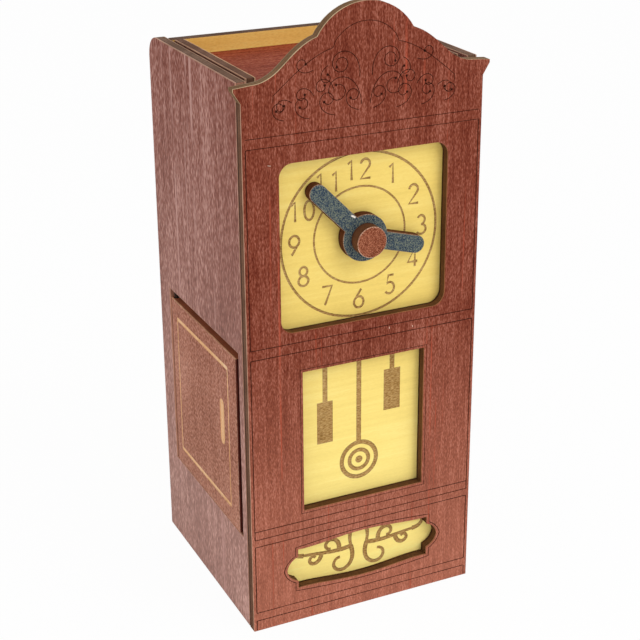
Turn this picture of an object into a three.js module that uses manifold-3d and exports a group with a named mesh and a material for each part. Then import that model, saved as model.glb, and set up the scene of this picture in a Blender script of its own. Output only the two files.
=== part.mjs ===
// A clock diversion safe: a small plywood longcase clock that hides two compartments.
// Millimetres, +Z up, the clock faces -Y, and the origin is the middle of its base.
// All boards are one thickness of laser-cut plywood, glued with a thin joint between them.
// The case is an outer box and an inner lining. The clock's knob turns both hands and a lock
// ring behind the dial: the lid in the top only lifts when the ring's gap stands upright.
// A flush door in the left side swings out on two steel pins.
import * as THREE from 'three';
import { mergeVertices } from 'three/addons/utils/BufferGeometryUtils.js';
import Module from 'manifold-3d';

const wasm = await Module();
wasm.setup();

// Boards and joints
const board = 4;
const glue_gap = 0.3;
const fascia_gap = 0.6;
const running_gap = 0.7;
const cut_overrun = 1;

// Case
const case_width = 92;
const case_depth = 90;
const wall_gap = 1.2;
const side_rear_radius = 8;
const back_inset = 10;
const side_rise = 1;

// Fascia, from the bottom up
const cartouche_centre_height = 22.5;
const cartouche_length = 64;
const cartouche_body_length = 55;
const cartouche_middle_height = 19.8;
const cartouche_corner_height = 16.8;
const cartouche_shoulder_height = 10.6;
const pendulum_window_bottom = 46.8;
const pendulum_window_width = 49.6;
const pendulum_window_height = 56.6;
const middle_rail = 15.9;
const dial_window_width = 65.6;
const dial_window_height = 62.3;
const dial_window_radius = 5;
const frieze_height = 27.6;
const ear_overhang = 2.6;
const ear_nose = 1.1;
const ear_underside_height = 4.2;
const crest_rise = 24.8;
const arch_radius = 20.9;
const arch_half_width = 18.1;

// Door in the left side
const door_opening_bottom = 36.6;
const door_opening_height = 74.9;
const door_front_margin = 3.9;
const door_rear_margin = 10.9;
const door_front_gap = 3;
const door_rear_gap = 0.5;
const door_top_gap = 3.5;
const door_bottom_gap = 0.4;
const door_stop_lap = 6;
const door_stop_rear_lap = 4;
const pin_diameter = 1.8;
const pin_depth = 5;
const pin_clearance = 0.3;
const magnet_diameter = 5;
const magnet_length = 2.2;
const magnet_edge_distance = 4.2;
const keeper_proud = 0.8;

// Inside
const shelf_rise = 1.8;
const cleat_size = 4;
const lid_recess = 6;
const lid_clearance = 0.5;
const finger_hole_diameter = 18;
const face_board_drop = 4;

// Hands, knob and lock
const spindle_diameter = 6;
const spindle_clearance = 0.3;
const hub_diameter = 17.4;
const arm_width = 6.6;
const long_arm_length = 29.5;
const long_arm_angle = -44;
const short_arm_length = 24.5;
const short_arm_angle = 105.5;
const hand_gap = 0.4;
const knob_diameter = 11.4;
const knob_thickness = 5;
const knob_bore_depth = 2.4;
const lock_wheel_diameter = 32;
const lock_ring_bore = 23.2;
const lock_gate_width = 6.6;
const peg_diameter = 4;
const peg_orbit = 8;
const peg_end_gap = 0.6;
const hanger_width = 12;
const hanger_foot = 3.8;
const hanger_block_size = 8;
const collar_diameter = 9.6;
const spindle_tail = 1.5;

// Fineness of the round work
const fine_sides = 48;
const plain_sides = 24;
const pin_sides = 12;
const arc_steps = 10;

// Places that follow from the sizes
const half_width = case_width / 2;
const side_front = board + fascia_gap;
const outer_wall_inner_x = half_width - board;
const lining_outer_x = outer_wall_inner_x - wall_gap;
const lining_inner_x = lining_outer_x - board;
const between_walls_x = outer_wall_inner_x - glue_gap;
const between_linings_x = lining_inner_x - glue_gap;
const face_board_front = board + glue_gap;
const face_board_back = face_board_front + board;
const back_outer_y = case_depth - back_inset;
const back_front_y = back_outer_y - board;
const floor_top = board + glue_gap;
const lining_front = face_board_back + glue_gap;
const lining_back = back_front_y - glue_gap;

const pendulum_window_top = pendulum_window_bottom + pendulum_window_height;
const dial_window_bottom = pendulum_window_top + middle_rail;
const dial_window_top = dial_window_bottom + dial_window_height;
const dial_window_middle = (dial_window_bottom + dial_window_top) / 2;
const ear_tip_height = dial_window_top + frieze_height;
const ear_root_height = ear_tip_height - ear_nose - ear_underside_height;
const crest_top = ear_tip_height + crest_rise;
const side_height = ear_tip_height + side_rise;
const spindle_height = dial_window_middle;

const opening_front = side_front + door_front_margin;
const opening_rear = case_depth - door_rear_margin;
const opening_top = door_opening_bottom + door_opening_height;
const door_front = opening_front + door_front_gap;
const door_rear = opening_rear - door_rear_gap;
const door_bottom = door_opening_bottom + door_bottom_gap;
const door_top = opening_top - door_top_gap;
const hinge_x = -(half_width - board / 2);
const hinge_y = door_rear - board / 2;

const shelf_bottom = opening_top + shelf_rise;
const shelf_top = shelf_bottom + board;
const lid_top = side_height - lid_recess;
const lid_bottom = lid_top - board;
const cleat_top = lid_bottom - glue_gap;

const wheel_front = face_board_back + running_gap;
const ring_front = wheel_front + board + glue_gap;
const ring_back = ring_front + board;
const hanger_front = ring_back + running_gap;
const hanger_back = hanger_front + board;
const bulkhead_front = hanger_back + running_gap;
const bulkhead_back = bulkhead_front + board;
const hand_back = face_board_front - hand_gap;
const hand_front = hand_back - board;
const knob_back = hand_front - glue_gap;
const knob_front = knob_back - knob_thickness;
const spindle_front = knob_back - knob_bore_depth + glue_gap;
const spindle_radius = spindle_diameter / 2;
const spindle_hole = spindle_radius + spindle_clearance;
const spindle_back = bulkhead_back + spindle_tail;
const peg_front = ring_front + peg_end_gap;
const peg_height = spindle_height + peg_orbit;
const hanger_bottom = peg_height - hanger_foot;
const keeper_y = door_front + magnet_edge_distance;
const keeper_z = (door_bottom + door_top) / 2;

// Materials
const finishes = {
  red_stain: [0x7c3a2b, 0.62],
  side_stain: [0x96645a, 0.66],
  door_stain: [0x985f50, 0.64],
  yellow_stain: [0xe6cf6c, 0.58],
  orange_stain: [0xd9a441, 0.6],
  blue_stain: [0x4c6174, 0.62],
  bare_ply: [0xc9a26b, 0.7],
  dowel: [0xb98d58, 0.65],
  steel: [0xb9bcc0, 0.3],
  magnet: [0x8f9296, 0.35],
};

function finish(name) {
  const [color, roughness] = finishes[name];
  const metalness = ['steel', 'magnet'].includes(name) ? 1 : 0;
  return new THREE.MeshStandardMaterial({ color, roughness, metalness });
}

// Joining and cutting
function to_solid(geometry) {
  const bare = geometry.clone();
  bare.deleteAttribute('normal');
  bare.deleteAttribute('uv');
  const merged = mergeVertices(bare);
  return new wasm.Manifold(new wasm.Mesh({
    numProp: 3,
    vertProperties: new Float32Array(merged.attributes.position.array),
    triVerts: new Uint32Array(merged.index.array),
  }));
}

function to_geometry(shape) {
  const mesh = shape.getMesh();
  const geometry = new THREE.BufferGeometry();
  geometry.setAttribute('position', new THREE.BufferAttribute(new Float32Array(mesh.vertProperties), 3));
  geometry.setIndex(new THREE.BufferAttribute(new Uint32Array(mesh.triVerts), 1));
  geometry.computeVertexNormals();
  return geometry;
}

function cut(geometry, ...tools) {
  return to_geometry(tools.reduce((whole, tool) => whole.subtract(to_solid(tool)), to_solid(geometry)));
}

function join(...pieces) {
  return to_geometry(pieces.map(to_solid).reduce((whole, piece) => whole.add(piece)));
}

// Boards: an outline drawn face on, given its thickness
function extruded(outline, thickness) {
  return new THREE.ExtrudeGeometry(outline, {
    depth: thickness, bevelEnabled: false, curveSegments: arc_steps });
}

// Outline in x and z, thickness back along y
function front_board(outline, thickness = board) {
  const turn = new THREE.Matrix4().makeBasis(
    new THREE.Vector3(1, 0, 0), new THREE.Vector3(0, 0, 1), new THREE.Vector3(0, -1, 0));
  return extruded(outline, thickness).applyMatrix4(turn).translate(0, thickness, 0);
}

// Outline in y and z, thickness along x
function side_board(outline, thickness = board) {
  const turn = new THREE.Matrix4().makeBasis(
    new THREE.Vector3(0, 1, 0), new THREE.Vector3(0, 0, 1), new THREE.Vector3(1, 0, 0));
  return extruded(outline, thickness).applyMatrix4(turn);
}

function rectangle(x0, y0, x1, y1, kind = THREE.Shape) {
  const outline = new kind();
  outline.moveTo(x0, y0).lineTo(x1, y0).lineTo(x1, y1).lineTo(x0, y1).lineTo(x0, y0);
  return outline;
}

function rounded_rectangle(x0, y0, x1, y1, radius, kind = THREE.Shape) {
  const outline = new kind();
  outline.moveTo(x0 + radius, y0);
  outline.lineTo(x1 - radius, y0).absarc(x1 - radius, y0 + radius, radius, -Math.PI / 2, 0, false);
  outline.lineTo(x1, y1 - radius).absarc(x1 - radius, y1 - radius, radius, 0, Math.PI / 2, false);
  outline.lineTo(x0 + radius, y1).absarc(x0 + radius, y1 - radius, radius, Math.PI / 2, Math.PI, false);
  outline.lineTo(x0, y0 + radius).absarc(x0 + radius, y0 + radius, radius, Math.PI, Math.PI * 1.5, false);
  return outline;
}

function round_hole(x, y, radius) {
  const hole = new THREE.Path();
  hole.absarc(x, y, radius, 0, Math.PI * 2, true);
  return hole;
}

// Rods, by the axis they lie along
function rod_y(radius, y0, y1, sides = plain_sides) {
  return new THREE.CylinderGeometry(radius, radius, y1 - y0, sides).translate(0, (y0 + y1) / 2, 0);
}

function rod_z(radius, z0, z1, sides = pin_sides) {
  return new THREE.CylinderGeometry(radius, radius, z1 - z0, sides)
    .rotateX(Math.PI / 2).translate(0, 0, (z0 + z1) / 2);
}

function rod_x(radius, x0, x1, sides = plain_sides) {
  return new THREE.CylinderGeometry(radius, radius, x1 - x0, sides)
    .rotateZ(Math.PI / 2).translate((x0 + x1) / 2, 0, 0);
}

function block(x0, y0, z0, x1, y1, z1) {
  return new THREE.BoxGeometry(x1 - x0, y1 - y0, z1 - z0)
    .translate((x0 + x1) / 2, (y0 + y1) / 2, (z0 + z1) / 2);
}

// A ring turned about y, between two radii
function turned_ring(inner, outer, y0, y1, sides = plain_sides) {
  const profile = [[inner, y0], [outer, y0], [outer, y1], [inner, y1], [inner, y0]];
  return new THREE.LatheGeometry(profile.map(([r, y]) => new THREE.Vector2(r, y)), sides);
}

function add(group, name, geometry, finish_name, x = 0, y = 0, z = 0) {
  const mesh = new THREE.Mesh(geometry, finish(finish_name));
  mesh.name = name;
  mesh.position.set(x, y, z);
  group.add(mesh);
  return mesh;
}

const clock = new THREE.Group();
clock.position.set(0, -case_depth / 2, 0);
const case_group = new THREE.Group();
const hands_group = new THREE.Group();
const lid_group = new THREE.Group();
const door_group = new THREE.Group();
hands_group.position.set(0, 0, spindle_height);
door_group.position.set(hinge_x, hinge_y, 0);
clock.add(case_group, hands_group, lid_group, door_group);

// Fascia: the carved crest, the two eared corners and three windows
// The shoulder between arch and ear, as shares of its width and of the crest's rise
const shoulder_out_shares = [0.784, 0.685, 0.574, 0.475, 0.348, 0.203];
const shoulder_up_shares = [0.024, 0.022, 0.073, 0.169, 0.294, 0.508];

function fascia_outline() {
  const arch_centre = crest_top - arch_radius;
  const notch_up = Math.sqrt(arch_radius ** 2 - arch_half_width ** 2);
  const notch_height = arch_centre + notch_up;
  const ear_x = half_width + ear_overhang;
  const shoulder_width = ear_x - arch_half_width;
  const at = (side, i) => [
    side * (arch_half_width + shoulder_width * shoulder_out_shares[i]),
    ear_tip_height + crest_rise * shoulder_up_shares[i],
  ];
  const outline = new THREE.Shape();
  outline.moveTo(-half_width, 0).lineTo(half_width, 0).lineTo(half_width, ear_root_height);
  outline.lineTo(ear_x, ear_tip_height - ear_nose).lineTo(ear_x, ear_tip_height);
  outline.lineTo(...at(1, 0));
  outline.bezierCurveTo(...at(1, 1), ...at(1, 2), ...at(1, 3));
  outline.bezierCurveTo(...at(1, 4), ...at(1, 5), arch_half_width, notch_height);
  const notch_angle = Math.atan2(notch_up, arch_half_width);
  outline.absarc(0, arch_centre, arch_radius, notch_angle, Math.PI - notch_angle, false);
  outline.bezierCurveTo(...at(-1, 5), ...at(-1, 4), ...at(-1, 3));
  outline.bezierCurveTo(...at(-1, 2), ...at(-1, 1), ...at(-1, 0));
  outline.lineTo(-ear_x, ear_tip_height).lineTo(-ear_x, ear_tip_height - ear_nose);
  outline.lineTo(-half_width, ear_root_height).lineTo(-half_width, 0);
  return outline;
}

// The scroll plate's window: bowed long edges, square shoulders and rounded pointed ends
const bow_x_shares = [0.72, 0.40];
const bow_dip_share = 0.94;
const nose_x_share = 0.88;
const nose_z_share = 0.72;

function cartouche_window() {
  const middle = cartouche_centre_height;
  const [body, tip] = [cartouche_body_length / 2, cartouche_length / 2];
  const [bow, corner, shoulder] = [
    cartouche_middle_height / 2, cartouche_corner_height / 2, cartouche_shoulder_height / 2];
  const nose_x = body + (tip - body) * nose_x_share;
  const hole = new THREE.Path();
  hole.moveTo(body, middle - corner).lineTo(body, middle - shoulder);
  hole.quadraticCurveTo(nose_x, middle - shoulder * nose_z_share, tip, middle);
  hole.quadraticCurveTo(nose_x, middle + shoulder * nose_z_share, body, middle + shoulder);
  hole.lineTo(body, middle + corner);
  hole.bezierCurveTo(body * bow_x_shares[0], middle + corner * bow_dip_share,
    body * bow_x_shares[1], middle + bow, 0, middle + bow);
  hole.bezierCurveTo(-body * bow_x_shares[1], middle + bow,
    -body * bow_x_shares[0], middle + corner * bow_dip_share, -body, middle + corner);
  hole.lineTo(-body, middle + shoulder);
  hole.quadraticCurveTo(-nose_x, middle + shoulder * nose_z_share, -tip, middle);
  hole.quadraticCurveTo(-nose_x, middle - shoulder * nose_z_share, -body, middle - shoulder);
  hole.lineTo(-body, middle - corner);
  hole.bezierCurveTo(-body * bow_x_shares[0], middle - corner * bow_dip_share,
    -body * bow_x_shares[1], middle - bow, 0, middle - bow);
  hole.bezierCurveTo(body * bow_x_shares[1], middle - bow,
    body * bow_x_shares[0], middle - corner * bow_dip_share, body, middle - corner);
  return hole;
}

function fascia() {
  const outline = fascia_outline();
  outline.holes.push(cartouche_window());
  outline.holes.push(rectangle(-pendulum_window_width / 2, pendulum_window_bottom,
    pendulum_window_width / 2, pendulum_window_top, THREE.Path));
  outline.holes.push(rounded_rectangle(-dial_window_width / 2, dial_window_bottom,
    dial_window_width / 2, dial_window_top, dial_window_radius, THREE.Path));
  return front_board(outline);
}
add(case_group, 'fascia', fascia(), 'red_stain');

// Yellow face board behind the fascia: it shows as the dial, pendulum and scroll plates
function face_board() {
  const outline = rectangle(-between_walls_x, floor_top, between_walls_x, side_height - face_board_drop);
  outline.holes.push(round_hole(0, spindle_height, spindle_hole));
  return front_board(outline);
}
add(case_group, 'face_board', face_board(), 'yellow_stain', 0, face_board_front);

// Outer sides, with their rounded upper rear corners
function side_outline() {
  const outline = new THREE.Shape();
  outline.moveTo(side_front, 0).lineTo(case_depth, 0).lineTo(case_depth, side_height - side_rear_radius);
  outline.absarc(case_depth - side_rear_radius, side_height - side_rear_radius, side_rear_radius,
    0, Math.PI / 2, false);
  outline.lineTo(side_front, side_height).lineTo(side_front, 0);
  return outline;
}

function pin_bore(z0, z1) {
  return rod_z(pin_diameter / 2 + pin_clearance, z0, z1).translate(hinge_x, hinge_y, 0);
}

function left_side() {
  const outline = side_outline();
  outline.holes.push(rectangle(opening_front, door_opening_bottom, opening_rear, opening_top, THREE.Path));
  const panel = side_board(outline).translate(-half_width, 0, 0);
  return cut(panel,
    pin_bore(opening_top - cut_overrun, opening_top + pin_depth + pin_clearance),
    pin_bore(door_opening_bottom - pin_depth - pin_clearance, door_opening_bottom + cut_overrun));
}
add(case_group, 'side_left', left_side(), 'side_stain');
add(case_group, 'side_right', side_board(side_outline()), 'side_stain', outer_wall_inner_x);

// Inner lining of the sides: the left one is cut out behind the door and stops it
function lining_outline() {
  return rectangle(lining_front, floor_top, lining_back, side_height);
}

function left_lining() {
  const outline = lining_outline();
  outline.holes.push(rectangle(keeper_y + magnet_edge_distance, door_bottom + door_stop_lap,
    lining_back - door_stop_rear_lap, door_top - door_stop_lap, THREE.Path));
  const pocket = rod_x(magnet_diameter / 2 + glue_gap,
    -lining_outer_x - cut_overrun, -lining_outer_x + magnet_length - keeper_proud + glue_gap)
    .translate(0, keeper_y, keeper_z);
  return cut(side_board(outline).translate(-lining_outer_x, 0, 0), pocket);
}
add(case_group, 'lining_left', left_lining(), 'bare_ply');
add(case_group, 'lining_right', side_board(lining_outline()), 'bare_ply', lining_inner_x);

// Back, base, shelf and the bulkhead that carries the rear end of the spindle
const back_outline = rectangle(-between_walls_x, floor_top, between_walls_x, side_height);
add(case_group, 'back_panel', front_board(back_outline), 'orange_stain', 0, back_front_y);
const base = block(-between_walls_x, face_board_front, 0, between_walls_x, back_outer_y, board);
add(case_group, 'base_board', base, 'bare_ply');
const shelf = block(-between_linings_x, lining_front, shelf_bottom,
  between_linings_x, lining_back, shelf_top);
add(case_group, 'middle_shelf', shelf, 'bare_ply');

function bulkhead() {
  const outline = rectangle(-between_linings_x, shelf_top + glue_gap, between_linings_x, cleat_top);
  outline.holes.push(round_hole(0, spindle_height, spindle_hole));
  return front_board(outline);
}
add(case_group, 'bulkhead', bulkhead(), 'bare_ply', 0, bulkhead_front);

// Cleats: square strips glued to the linings under the lid, the shelf and round the base
const cleat_inner_x = between_linings_x - cleat_size;
for (const [side, name] of [[-1, 'left'], [1, 'right']]) {
  const x0 = Math.min(side * between_linings_x, side * cleat_inner_x);
  const x1 = x0 + cleat_size;
  const upper_front = bulkhead_back + glue_gap;
  const lid_cleat = block(x0, upper_front, cleat_top - cleat_size, x1, lining_back, cleat_top);
  add(case_group, `lid_cleat_${name}`, lid_cleat, 'bare_ply');
  const shelf_cleat_top = shelf_bottom - glue_gap;
  const shelf_cleat = block(x0, lining_front, shelf_cleat_top - cleat_size / 2,
    x1, lining_back, shelf_cleat_top);
  add(case_group, `shelf_cleat_${name}`, shelf_cleat, 'bare_ply');
  const base_cleat = block(x0, lining_front, floor_top, x1, lining_back, floor_top + cleat_size);
  add(case_group, `base_cleat_${name}`, base_cleat, 'bare_ply');
  const bulkhead_cleat = block(x0, upper_front, shelf_top + glue_gap, x1, upper_front + cleat_size,
    cleat_top - cleat_size - glue_gap);
  add(case_group, `bulkhead_cleat_${name}`, bulkhead_cleat, 'bare_ply');
}
const rear_cleat_x = cleat_inner_x - glue_gap;
const rear_cleat = block(-rear_cleat_x, lining_back - cleat_size, cleat_top - cleat_size,
  rear_cleat_x, lining_back, cleat_top);
add(case_group, 'lid_cleat_rear', rear_cleat, 'bare_ply');

// Hinge pins and the magnet that keeps the door shut
const pin_radius = pin_diameter / 2;
const upper_pin = rod_z(pin_radius, door_top - pin_depth, opening_top + pin_depth);
add(case_group, 'door_pin_upper', upper_pin, 'steel', hinge_x, hinge_y);
const lower_pin = rod_z(pin_radius, door_opening_bottom - pin_depth, door_bottom + pin_depth);
add(case_group, 'door_pin_lower', lower_pin, 'steel', hinge_x, hinge_y);
const keeper_x = -lining_outer_x - keeper_proud;
const keeper = rod_x(magnet_diameter / 2, keeper_x, keeper_x + magnet_length);
add(case_group, 'keeper_magnet', keeper, 'magnet', 0, keeper_y, keeper_z);

// Hands: a ring hub with two round-ended arms, cut from one board
function hand_arm(length, degrees) {
  const end = length - arm_width / 2;
  const outline = new THREE.Shape();
  outline.moveTo(-arm_width / 2, 0).lineTo(arm_width / 2, 0).lineTo(arm_width / 2, end);
  outline.absarc(0, end, arm_width / 2, 0, Math.PI, false).lineTo(-arm_width / 2, 0);
  return front_board(outline).rotateY(THREE.MathUtils.degToRad(degrees));
}

function hands() {
  const hub = rod_y(hub_diameter / 2, 0, board, fine_sides);
  const bore = rod_y(spindle_hole, -cut_overrun, board + cut_overrun);
  const arms = [hand_arm(long_arm_length, long_arm_angle), hand_arm(short_arm_length, short_arm_angle)];
  return cut(join(hub, ...arms), bore);
}
add(hands_group, 'hands', hands(), 'blue_stain', 0, hand_front);

// Knob: a disc with a blind bore for the spindle's end
function knob() {
  const radius = knob_diameter / 2;
  const profile = [
    [0, 0], [radius, 0], [radius, knob_thickness], [spindle_hole, knob_thickness],
    [spindle_hole, knob_thickness - knob_bore_depth], [0, knob_thickness - knob_bore_depth],
  ];
  return new THREE.LatheGeometry(profile.map(([r, y]) => new THREE.Vector2(r, y)), fine_sides);
}
add(hands_group, 'knob', knob(), 'red_stain', 0, knob_front);
add(hands_group, 'spindle', rod_y(spindle_radius, spindle_front, spindle_back), 'dowel');

// Lock: a disc on the spindle, and on it a ring with one gap for the lid's peg
add(hands_group, 'lock_wheel', turned_ring(spindle_hole, lock_wheel_diameter / 2, 0, board, fine_sides),
  'bare_ply', 0, wheel_front);

function lock_ring() {
  const ring = turned_ring(lock_ring_bore / 2, lock_wheel_diameter / 2, 0, board, fine_sides);
  const half_gate = lock_gate_width / 2;
  const gate = block(-half_gate, -cut_overrun, 0, half_gate, board + cut_overrun, lock_wheel_diameter);
  return cut(ring, gate);
}
add(hands_group, 'lock_ring', lock_ring(), 'bare_ply', 0, ring_front);
add(hands_group, 'spindle_collar', turned_ring(spindle_hole, collar_diameter / 2, 0, board),
  'dowel', 0, ring_front);

// Lid: a board that drops into the recess, with a finger hole in its middle
function lid_board() {
  const edge = lining_inner_x - lid_clearance;
  const front = face_board_back + lid_clearance;
  const rear = back_front_y - lid_clearance;
  const outline = rectangle(-edge, front, edge, rear);
  outline.holes.push(round_hole(0, (front + rear) / 2, finger_hole_diameter / 2));
  return extruded(outline, board);
}
add(lid_group, 'lid_board', lid_board(), 'red_stain', 0, 0, lid_bottom);

// The lid's hanger reaches down behind the dial, and its peg stands inside the lock ring
function lid_hanger() {
  const outline = rectangle(-hanger_width / 2, hanger_bottom, hanger_width / 2, cleat_top);
  outline.holes.push(round_hole(0, peg_height, peg_diameter / 2 + glue_gap));
  return front_board(outline);
}
add(lid_group, 'lid_hanger', lid_hanger(), 'bare_ply', 0, hanger_front);
const peg = rod_y(peg_diameter / 2, peg_front, hanger_back);
add(lid_group, 'lock_peg', peg, 'dowel', 0, 0, peg_height);
const hanger_block = block(-hanger_width / 2, hanger_front - glue_gap - hanger_block_size,
  cleat_top - hanger_block_size, hanger_width / 2, hanger_front - glue_gap, cleat_top);
add(lid_group, 'hanger_block', hanger_block, 'bare_ply');

// Door: flush in the side, its rear edge rounded about the pins
function door_panel() {
  const [front, radius] = [door_front - hinge_y, board / 2];
  const outline = new THREE.Shape();
  outline.moveTo(-radius, front).lineTo(radius, front).lineTo(radius, 0);
  outline.absarc(0, 0, radius, 0, Math.PI, false).lineTo(-radius, front);
  const panel = extruded(outline, door_top - door_bottom).translate(0, 0, door_bottom);
  const bore_radius = pin_radius + pin_clearance;
  const magnet_bore = rod_x(magnet_diameter / 2 + glue_gap,
    radius - magnet_length - glue_gap, radius + cut_overrun).translate(0, keeper_y - hinge_y, keeper_z);
  return cut(panel,
    rod_z(bore_radius, door_top - pin_depth - pin_clearance, door_top + cut_overrun),
    rod_z(bore_radius, door_bottom - cut_overrun, door_bottom + pin_depth + pin_clearance),
    magnet_bore);
}
add(door_group, 'door_panel', door_panel(), 'door_stain');
const door_magnet = rod_x(magnet_diameter / 2, board / 2 - magnet_length, board / 2);
add(door_group, 'door_magnet', door_magnet, 'magnet', 0, keeper_y - hinge_y, keeper_z);

export default clock;
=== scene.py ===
# A clock diversion safe: a plywood longcase clock with two hidden compartments.
# Metres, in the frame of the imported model: +Z up, the clock faces -Y, the base at z = 0.
# Lines and marks are drawn in millimetres on the face of their board, and MM makes metres of them.
import math

import bmesh
import bpy
from mathutils import Matrix, Quaternion, Vector
from mathutils.geometry import interpolate_bezier


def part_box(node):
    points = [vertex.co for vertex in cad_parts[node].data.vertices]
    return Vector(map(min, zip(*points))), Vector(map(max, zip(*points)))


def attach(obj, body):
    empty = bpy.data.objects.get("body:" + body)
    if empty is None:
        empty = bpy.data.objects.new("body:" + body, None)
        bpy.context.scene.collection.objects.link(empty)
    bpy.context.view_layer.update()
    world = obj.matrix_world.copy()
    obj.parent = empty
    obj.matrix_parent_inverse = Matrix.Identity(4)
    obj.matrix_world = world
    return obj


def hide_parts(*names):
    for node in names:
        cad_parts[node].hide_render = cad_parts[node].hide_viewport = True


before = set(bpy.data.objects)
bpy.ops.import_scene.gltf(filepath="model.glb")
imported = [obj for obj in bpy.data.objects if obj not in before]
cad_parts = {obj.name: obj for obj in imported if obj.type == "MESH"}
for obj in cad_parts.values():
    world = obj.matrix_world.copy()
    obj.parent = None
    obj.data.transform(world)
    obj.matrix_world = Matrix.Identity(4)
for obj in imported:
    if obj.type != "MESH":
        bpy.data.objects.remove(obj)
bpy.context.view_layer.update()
scene = bpy.context.scene

# Camera
# It looks from the front left and a little above, from about half a metre, as the photograph does.
# The small shift keeps the clock's foot and crest where the photograph has them.
MM = 0.001
camera_azimuth = math.radians(-25.26)
camera_height_angle = math.radians(21.75)
camera_roll = math.radians(-0.37)
camera_distance = 556.5 * MM
camera_target = Vector((-4.75, -17.4, 121.65)) * MM
camera_lens = 83.83
camera_sensor = 36
camera_shift_y = -30 / 640
camera_near = 0.01

back_vector = Vector((
    math.sin(camera_azimuth) * math.cos(camera_height_angle),
    -math.cos(camera_azimuth) * math.cos(camera_height_angle),
    math.sin(camera_height_angle),
))
camera_data = bpy.data.cameras.new("camera")
camera_data.lens = camera_lens
camera_data.sensor_width = camera_sensor
camera_data.shift_y = camera_shift_y
camera_data.clip_start = camera_near
camera = bpy.data.objects.new("camera", camera_data)
camera.location = camera_target + back_vector * camera_distance
camera.rotation_mode = "QUATERNION"
camera.rotation_quaternion = back_vector.to_track_quat("Z", "Y") @ Quaternion((0, 0, 1), camera_roll)
scene.collection.objects.link(camera)
scene.camera = camera

# Studio
# A white floor that runs out of view, an even white surround, and four soft lamps, one of them low.
# To the camera the floor is mostly plain white, with a share of its real light and shadow.
world_level = 0.6
white = (1, 1, 1, 1)
# Where each lamp stands, how wide it is, and its power
lamp_settings = {
    "left_softbox": ((-0.95, -0.3, 0.35), 0.8, 1.7),
    "front_softbox": ((0.62, -0.9, 0.4), 0.8, 0.9),
    "low_softbox": ((0.1, -0.36, 0.05), 0.3, 0.25),
    "top_softbox": ((0.35, -0.75, 0.85), 0.6, 3.0),
}
floor_radius = 4.0
floor_sides = 64
floor_white_share = 0.96


def add_node(tree, kind, inputs=None, **options):
    """Adds a shader node, sets its options, and sets or links its inputs."""
    node = tree.nodes.new("ShaderNode" + kind)
    for option, value in options.items():
        setattr(node, option, value)
    for socket, value in (inputs or {}).items():
        if isinstance(value, bpy.types.NodeSocket):
            tree.links.new(value, node.inputs[socket])
        else:
            node.inputs[socket].default_value = value
    return node


def calculate(tree, operation, first, second=0.0, third=0.0):
    """One step of arithmetic on the surface."""
    return add_node(tree, "Math", {0: first, 1: second, 2: third}, operation=operation).outputs[0]


world = bpy.data.worlds.new("studio")
scene.world = world
world.use_nodes = True
surround = world.node_tree
surround.nodes.clear()
rays = add_node(surround, "LightPath").outputs
seen = calculate(surround, "MAXIMUM", rays["Is Camera Ray"], rays["Is Glossy Ray"])
seen = calculate(surround, "MAXIMUM", seen, rays["Is Transmission Ray"])
soft_light = add_node(surround, "Background", {"Color": white, "Strength": world_level}).outputs[0]
white_surround = add_node(surround, "Background", {"Color": white, "Strength": 1.0}).outputs[0]
surround_mix = add_node(surround, "MixShader", {0: seen, 1: soft_light, 2: white_surround})
add_node(surround, "OutputWorld", {0: surround_mix.outputs[0]})

for lamp_name, (place, size, power) in lamp_settings.items():
    lamp_data = bpy.data.lights.new(lamp_name, "AREA")
    lamp_data.shape = "DISK"
    lamp_data.size = size
    lamp_data.energy = power
    lamp = bpy.data.objects.new(lamp_name, lamp_data)
    lamp.location = place
    lamp.rotation_euler = (Vector(place) - camera_target).to_track_quat("Z", "Y").to_euler()
    scene.collection.objects.link(lamp)

floor_mesh = bmesh.new()
bmesh.ops.create_circle(floor_mesh, cap_ends=True, radius=floor_radius, segments=floor_sides)
floor_data = bpy.data.meshes.new("floor")
floor_mesh.to_mesh(floor_data)
floor_mesh.free()
floor = bpy.data.objects.new("floor", floor_data)
scene.collection.objects.link(floor)
floor_finish = bpy.data.materials.new("floor")
floor_finish.use_nodes = True
paper = floor_finish.node_tree
paper.nodes.clear()
paper_light = add_node(paper, "BsdfDiffuse", {"Color": white}).outputs[0]
paper_white = add_node(paper, "Emission", {"Color": white, "Strength": 1.0}).outputs[0]
camera_ray = add_node(paper, "LightPath").outputs["Is Camera Ray"]
white_share = calculate(paper, "MULTIPLY", camera_ray, floor_white_share)
paper_mix = add_node(paper, "MixShader", {0: white_share, 1: paper_light, 2: paper_white})
add_node(paper, "OutputMaterial", {0: paper_mix.outputs[0]})
floor_data.materials.append(floor_finish)

# Fascia
# The front board of 4 mm three-ply, cut by laser with its crest, ears and three windows.
# Its face is stained mahogany red, its cut edges stay brown, and fine lines are burnt into it.
board_thickness = 4 * MM
weld_distance = 0.001 * MM
flat_angle = math.radians(0.5)
smooth_angle = math.radians(20)
sharp_angle = math.radians(35)
edge_rounding = 0.2 * MM
fascia_rounding = 0.3 * MM
wood_gloss = 0.1
fascia_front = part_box("fascia")[0].y

up = Vector((0, 0, 1))
right = Vector((1, 0, 0))
backward = Vector((0, 1, 0))

# How squarely a face looks forward or back, as a cosine, where it counts as front, arris or back
front_facing = 0.95
arris_facing = 0.2
back_facing = 0.9


def colour(red, green, blue):
    """A colour as the eye reads it, 0 to 255, in the light values that a shader takes."""
    values = []
    for part in (red, green, blue):
        share = part / 255
        values.append(share / 12.92 if share < 0.04045 else ((share + 0.055) / 1.055) ** 2.4)
    return (*values, 1.0)


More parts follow.
